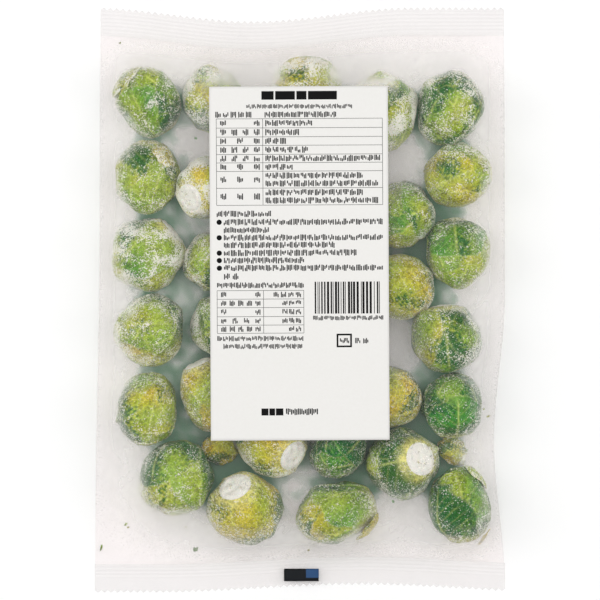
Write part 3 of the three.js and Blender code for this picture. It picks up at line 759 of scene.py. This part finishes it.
# ============================================================
# Crumbs: bits of leaf and one thread of stalk that have rubbed off the heads, frozen to the inside of the
# film in the bag's empty corners. Each is a flake with a ragged rim, about a third of a millimetre thick.
# ============================================================
CRUMBS = [  # x, y, length and width in mm, turn in degrees, tone
    (-80.5, -103.6, 1.9, 1.2, 60, 0.5), (-79.4, -105.0, 1.3, 0.9, 10, 0.3),
    (-92.0, -114.5, 3.0, 1.0, 75, 0.6), (-48.3, -115.0, 2.4, 2.0, 0, 0.8),
    (-52.4, -104.4, 1.0, 0.8, 0, 0.4), (-47.8, 74.0, 1.4, 1.2, 0, 0.9),
    (-83.3, 119.0, 1.0, 0.8, 30, 0.5), (4.0, -115.5, 1.3, 0.9, 0, 0.2),
    (84.5, -50.2, 1.2, 0.9, 0, 0.4), (86.8, -53.6, 2.0, 0.9, 10, 0.3),
    (42.8, -92.5, 1.6, 1.3, 0, 0.9), (84.4, -109.8, 9.6, 1.3, 52, 0.1),
]
CRUMB_SIDES = 14
CRUMB_DEPTH, CRUMB_THICKNESS = 0.3, 0.35  # mm below the film, and thick in the middle
place, size, turn, tone = (np.array(CRUMBS)[:, columns] for columns in (slice(0, 2), slice(2, 4), 4, 5))
angle = np.arange(CRUMB_SIDES) * 2 * np.pi / CRUMB_SIDES
ragged = 1 + 0.28 * np.random.default_rng(61).normal(size=(len(CRUMBS), CRUMB_SIDES)).clip(-1.3, 1.3)
rim = np.stack([np.cos(angle), np.sin(angle)], -1) * ragged[..., None] * size[:, None] / 2
cos_turn, sin_turn = np.cos(np.radians(turn))[:, None], np.sin(np.radians(turn))[:, None]
x, y = rim[..., 0], rim[..., 1]
rim = np.stack([x * cos_turn - y * sin_turn, x * sin_turn + y * cos_turn], -1) + place[:, None]
flat = np.concatenate([place[:, None], rim], 1)
under = read(film_top, flat[..., 0], flat[..., 1]) - CRUMB_DEPTH
swell = np.array([1.0] + [0.4] * CRUMB_SIDES)  # full in the middle, less at the rim
domed = under - CRUMB_THICKNESS * swell
upper, lower = np.concatenate([flat, under[..., None]], -1), np.concatenate([flat, domed[..., None]], -1)


def flake_faces(count, sides):
    """Closed flakes, each of an upper middle and ring and a lower middle and ring: two fans and a wall, as
    triangles."""
    k = np.arange(sides)
    n = (k + 1) % sides
    top = np.stack([np.full(sides, 0), 1 + k, 1 + n], 1)
    low = np.stack([np.full(sides, 1 + sides), 2 + sides + n, 2 + sides + k], 1)
    wall_a = np.stack([1 + k, 2 + sides + k, 2 + sides + n], 1)
    wall_b = np.stack([1 + k, 2 + sides + n, 1 + n], 1)
    one = np.concatenate([top, low, wall_a, wall_b])
    return (np.arange(count)[:, None, None] * 2 * (1 + sides) + one).reshape(-1, 3)


crumb_points = np.concatenate([upper, lower], 1)
crumbs = make_piece("crumbs", crumb_points, flake_faces(len(CRUMBS), CRUMB_SIDES), frozen_leaf)
tones = np.repeat(tone, crumb_points.shape[1])
none = np.zeros(len(tones))
attribute(crumbs, "leaf_colour", leaf_colour(tones, none, none, 0.5 * tones))
attribute(crumbs, "frost", none)
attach(crumbs, "root")

# ============================================================
# The welds: at both ends the web is pressed flat between ribbed jaws, which leave fine ridges across
# it, and cut with a zigzag knife. Down the back its two edges are welded together into a flat fin.
# ============================================================
TOOTH_PITCH, TOOTH_DEPTH, RIDGE_PITCH = 3.0, 1.1, 1.7
welded = film_material("film_polythene_welded_double", "#f6f4f3", "#f8f7f7")


def make_weld(name, edge, inward, ridge_low, ridge_high):
    """A strip from the weld line to the zigzag cut. Its height is a row of sine ridges between two
    distances from the cut, and its outer rim follows a triangle wave, a tooth every TOOTH_PITCH or so.
    Inward is +1 or -1, the way along Y from the cut into the bag."""
    teeth = round(BAG_WIDTH / TOOTH_PITCH)
    columns, rows = teeth * 6 + 1, 45
    left, right = left_edge(edge(np.array(-95.0))), right_edge(edge(np.array(95.0)))
    U, V = np.meshgrid(np.linspace(0, 1, columns), np.linspace(0, 1, rows))
    X = left + (right - left) * U
    tooth = np.abs((U * teeth) % 1 * 2 - 1)  # 1 in a notch, 0 at a tip
    cut = edge(X) + inward * TOOTH_DEPTH * tooth
    start = edge(X) + inward * SEAL_LENGTH
    Y = start + (cut - start) * V
    from_cut = (Y - edge(X)) * inward
    band = step(from_cut, ridge_low - 0.6, ridge_low) * step(-from_cut, -ridge_high - 0.6, -ridge_high)
    ridge = np.cos(2 * np.pi * from_cut / RIDGE_PITCH)
    spot = np.stack([X, Y], -1)
    Z = SEAL_HEIGHT + 0.09 * ridge * band * (0.7 + 0.3 * ripple(spot, 30, 610))
    Z = Z + 0.35 * ripple(spot * (1, 0.2), 26.0, 611) * step(1 - V, 0, 1) * step(V, 0, 0.3)
    Z = Z + 0.5 * ripple(spot, 60.0, 612) * step(V, 0.1, 1)
    faces = grid_faces(rows, columns)
    if inward > 0:
        faces = faces[:, ::-1]
    piece = make_piece(name + "_film", np.stack([X, Y, Z], -1), faces, welded)
    attribute(piece, "haze", (0.12 + 0.02 * ridge * band).ravel())
    attribute(piece, "rime", np.full(X.size, NO_RIME))
    add_wall(piece, 2 * FILM_WALL, 0)
    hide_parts(name)
    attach(piece, "root")


make_weld("top_seal", top_edge, -1, 2.0, 11.0)
make_weld("bottom_seal", bottom_edge, 1, 7.0, 12.0)

# The fin is a flat strip with low sine ridges along it.
FIN_COLUMNS, FIN_ROWS = 24, 140
FIN_WALL, FIN_HEIGHT, FIN_RIDGE_PITCH = 0.12, 0.16, 2.2
fin_low, fin_high = (np.array(c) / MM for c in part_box("back_fin"))
U, V = np.meshgrid(np.linspace(0, 1, FIN_COLUMNS), np.linspace(0, 1, FIN_ROWS))
X = fin_low[0] + (fin_high[0] - fin_low[0]) * U
Y = fin_low[1] + (fin_high[1] - fin_low[1]) * V
ridge = 0.10 * np.cos(2 * np.pi * (X - fin_low[0]) / FIN_RIDGE_PITCH)
Z = FIN_HEIGHT + ridge * step(U, 0.0, 0.2) * step(1 - U, 0, 0.2)
faces = grid_faces(FIN_ROWS, FIN_COLUMNS)[:, ::-1]
back_fin = make_piece("back_fin_film", np.stack([X, Y, Z], -1), faces, polythene)
attribute(back_fin, "haze", np.full(X.size, 0.03))
attribute(back_fin, "rime", np.full(X.size, NO_RIME))
add_wall(back_fin, FIN_WALL, 0)
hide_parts("back_fin")
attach(back_fin, "root")

# ============================================================
# The label: a rectangle of white, uncoated paper, stuck flat on the film and printed in black. Its print
# stands here as rules, blocks, dots and clusters of ticks, and as a block of bars whose widths are drawn by
# lot. None of it says anything.
# ============================================================
paper, tree, out = new_material("label_paper_white_uncoated")
place = node(tree, "TexCoord").outputs["Object"]
fibre = node(tree, "TexNoise", {"Vector": place, "Scale": 900.0, "Detail": 4.0, "Roughness": 0.6})
tone = node(tree, "MixRGB", {0: fibre.outputs["Fac"], 1: linear("#e6e4e0"), 2: linear("#ebeae7")})
bump = node(tree, "Bump", {"Height": fibre.outputs["Fac"], "Strength": 0.2, "Distance": 0.0001})
sheet = node(tree, "BsdfPrincipled", {
    "Base Color": tone.outputs[0], "Roughness": 0.75, "IOR": 1.5, "Normal": bump.outputs[0]})
tree.links.new(sheet.outputs[0], out.inputs[0])

LABEL_COLUMNS, LABEL_ROWS = 60, 110
PAPER_WALL, PAPER_LIFT = 0.12, 0.15  # mm thick, and from the CAD label's foot to the paper's top
INK_FOOT, INK_TOP = -0.01, 0.035  # mm from the paper's top
U, V = np.meshgrid(np.linspace(-0.5, 0.5, LABEL_COLUMNS), np.linspace(-0.5, 0.5, LABEL_ROWS))


def on_label(across, along, lift=0.0):
    """A point of the label, across and along from its middle, in place on the bag: turned by the label's
    turn, at the paper's height, which waves very slightly."""
    x = LABEL_MIDDLE[0] + across * LABEL_COS - along * LABEL_SIN
    y = LABEL_MIDDLE[1] + across * LABEL_SIN + along * LABEL_COS
    wave = 0.12 * ripple(np.stack([across, along], -1), 38.0, 700)
    return np.stack([x, y, LABEL_Z + PAPER_LIFT + wave + lift], -1)


sheet_points = on_label(U * LABEL_SIZE[0], V * LABEL_SIZE[1])
label = make_piece("label_paper", sheet_points, grid_faces(LABEL_ROWS, LABEL_COLUMNS), paper)
add_wall(label, PAPER_WALL, -1)
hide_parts("label")
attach(label, "root")

ink, tree, out = new_material("label_ink_black_matt")
black = node(tree, "BsdfPrincipled", {
    "Base Color": linear("#060607"), "Roughness": 0.8, "Specular IOR Level": 0.2})
tree.links.new(black.outputs[0], out.inputs[0])

# Every mark is a bar: left, top, width and height, in mm from the label's top left corner.
bars = []
rng = np.random.default_rng(20)
RULE_WIDTH, LONGEST_BAR = 0.18, 3
TICKS, TICK_PITCH, TICK_WIDTH = 4, 0.24, 0.17  # in a cluster; the pitch and width are shares of its height
CLUSTER_WIDTH, CLUSTER_PITCH = 0.9, 1.08  # as shares of its height too


def rule(left, top, width, height=RULE_WIDTH):
    """One bar, in lengths of at most LONGEST_BAR, so that it follows the paper."""
    parts = math.ceil(width / LONGEST_BAR)
    for k in range(parts):
        bars.append((left + width * k / parts, top, width / parts, height))


def print_line(left, right, middle, tall, clusters=0):
    """A line of print: clusters of upright ticks of uneven height, evenly spaced, as many as fit if not
    told."""
    clusters = clusters or max(1, round((right - left) / (CLUSTER_PITCH * tall)))
    pitch = (right - left - CLUSTER_WIDTH * tall) / max(clusters - 1, 1)
    for cluster in range(clusters):
        for tick in range(TICKS):
            height = tall * rng.uniform(0.4, 1.0)
            x = left + cluster * pitch + tick * TICK_PITCH * tall
            bars.append((x, middle - tall / 2 + rng.uniform(0, tall - height), TICK_WIDTH * tall, height))


def table_rules(left, right, divider, lines):
    """The ruled frame of a table, with a row between each two lines."""
    for y in lines:
        rule(left, y, right - left)
    for x in (left, divider, right):
        for top, low in zip(lines, lines[1:]):
            rule(x - RULE_WIDTH / 2, top, RULE_WIDTH, low - top)


for left, width in ((23.9, 5.6), (30.2, 9.0), (39.9, 4.6), (45.2, 13.2)):  # the title, as four blocks
    rule(left, 2.2, width, 3.9)
print_line(17, 65.3, 9.2, 2.2)
print_line(2.8, 19.3, 12.9, 2.8)
print_line(25.3, 58, 12.9, 2.8)
# The table of product data: a name on the left of each row, and one or two lines on the right.
lines = [14.7, 18.9, 23.0, 26.9, 31.0, 34.8, 38.7, 46.4, 54.2]
table_rules(3.2, 79.1, 24.4, lines)
ends = (47, 41, 35, 45, 78, 38)
for row, (top, low) in enumerate(zip(lines, lines[1:])):
    print_line(5.0, 23.0, (top + low) / 2, 2.9, (2, 4, 3, 4, 4, 3, 3, 3)[row])
    if row < len(ends):
        print_line(25.6, ends[row], (top + low) / 2, 2.9)
    else:
        print_line(25.6, 70, top + 2.1, 2.9)
        print_line(25.6, 77, low - 2.0, 2.9)
# The advice, line by line, and the small table of nutrients.
print_line(3.2, 28, 58.2, 2.9)
for y, end in ((62, 79), (65.6, 27), (69.1, 79), (72.5, 57), (76.1, 67), (79.5, 43), (83, 79), (86.8, 13)):
    print_line(6.4, end, y, 2.9)
print_line(3.2, 42.8, 90.9, 2.7)
small = [93.2, 97.1, 101.0, 105.1, 109.0, 112.7]
table_rules(3.2, 42.8, 24.4, small)
for row, (top, low) in enumerate(zip(small, small[1:])):
    print_line(5, 23, (top + low) / 2, 2.6, (2, 5, 2, 4, 5)[row])
    print_line((29, 33, 33, 33, 36)[row], 41.5, (top + low) / 2, 2.6)
print_line(3.2, 42.5, 115.2, 2.4)
print_line(6.0, 42.0, 118.8, 2.4)
# The block of bars. Each bar, and each gap, is one to three modules wide, drawn by lot.
MODULE, MODULES_ACROSS = 0.33, 93
BAR_PARTS, BAR_PART = 5, 2.92  # a bar's height, in parts, so that it follows the paper
across = 0
while across < MODULES_ACROSS:
    bar, gap = rng.integers(1, 4, 2)
    for part in range(BAR_PARTS):
        rule(47.8 + across * MODULE, 89.4 + part * BAR_PART, bar * MODULE, BAR_PART)
    across += bar + gap
print_line(47.0, 79.1, 106.0, 2.3, 13)
# A plain square frame, with ticks in it and beside it.
square = ((57.7, 113.2, 7, 0.8), (57.7, 118.6, 7, 0.8), (57.7, 114, 0.8, 4.6), (63.9, 114, 0.8, 4.6))
for left, top, width, tall in square:
    rule(left, top, width, tall)
print_line(59.2, 63.4, 116.3, 2.6, 2)
print_line(66.2, 72.2, 116.4, 2.6, 2)
for left, width in ((23.2, 3.2), (26.8, 2.6), (29.8, 3.4)):  # a stamped date
    rule(left, 147.2, width, 3.2)
print_line(34.4, 49.0, 148.8, 3.2, 6)
left, top, width, tall = np.array(bars).T
across = np.stack([left, left + width, left + width, left], 1) - LABEL_SIZE[0] / 2
along = LABEL_SIZE[1] / 2 - np.stack([top + tall, top + tall, top, top], 1)
print_points = np.concatenate([on_label(across, along, INK_FOOT), on_label(across, along, INK_TOP)], 1)
box_faces = np.array([(4, 5, 6, 7), (3, 2, 1, 0), (0, 1, 5, 4), (1, 2, 6, 5), (2, 3, 7, 6), (3, 0, 4, 7)])
print_faces = (np.arange(len(bars))[:, None, None] * 8 + box_faces).reshape(-1, 4)
label_print = make_piece("label_print", print_points, print_faces, ink, smooth=False)
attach(label_print, "root")

# Dots before the lines of advice, each a low round disc.
DOT_X, DOT_RADIUS, DOT_SIDES = 4.3, 1.2, 28
dots = (62, 69.1, 76.1, 79.5, 83)
angle = np.arange(DOT_SIDES) * 2 * np.pi / DOT_SIDES
disc_points = []
for y in dots:
    hub = np.array([DOT_X - LABEL_SIZE[0] / 2, LABEL_SIZE[1] / 2 - y])
    ring = np.stack([hub[0] + DOT_RADIUS * np.cos(angle), hub[1] + DOT_RADIUS * np.sin(angle)], -1)
    hub_and_ring = np.concatenate([[hub], ring])
    disc_points += [on_label(*hub_and_ring.T, INK_TOP), on_label(*hub_and_ring.T, INK_FOOT)]
dot_faces = flake_faces(len(dots), DOT_SIDES)
label_dots = make_piece("label_dots", np.concatenate(disc_points), dot_faces, ink, smooth=False)
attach(label_dots, "root")

# ============================================================
# The registration mark: a blue-black rectangle of ink, printed on the bottom weld for the cutter's eye to
# find. Its upper right corner is blue. The ink is a thin sheet over the weld's ridges.
# ============================================================
mark_ink, tree, out = new_material("weld_ink_blue_black")
place = node(tree, "TexCoord").outputs["Object"]
across = node(tree, "SeparateXYZ", {"Vector": place})
right = node(tree, "Math", {0: across.outputs["X"], 1: 0.0028}, operation="GREATER_THAN")
upper = node(tree, "Math", {0: across.outputs["Y"], 1: -0.1286}, operation="GREATER_THAN")
blue = node(tree, "Math", {0: right.outputs[0], 1: upper.outputs[0]}, operation="MULTIPLY")
shade = node(tree, "MixRGB", {0: blue.outputs[0], 1: linear("#0a0f14"), 2: linear("#2b4d78")})
film_ink = node(tree, "BsdfPrincipled", {
    "Base Color": shade.outputs[0], "Roughness": 0.6, "Specular IOR Level": 0.2})
tree.links.new(film_ink.outputs[0], out.inputs[0])
MARK_COLUMNS, MARK_ROWS = 12, 6
MARK_LIFT, MARK_INK = 0.75, 0.03  # mm above the weld's middle, and thick
X, Y = np.meshgrid(np.linspace(-7.4, 8.7, MARK_COLUMNS), np.linspace(-130.2, -124.4, MARK_ROWS))
Z = np.full(X.shape, SEAL_HEIGHT + MARK_LIFT)
faces = grid_faces(MARK_ROWS, MARK_COLUMNS)
mark = make_piece("registration_mark", np.stack([X, Y, Z], -1), faces, mark_ink)
add_wall(mark, MARK_INK, -1)
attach(mark, "root")
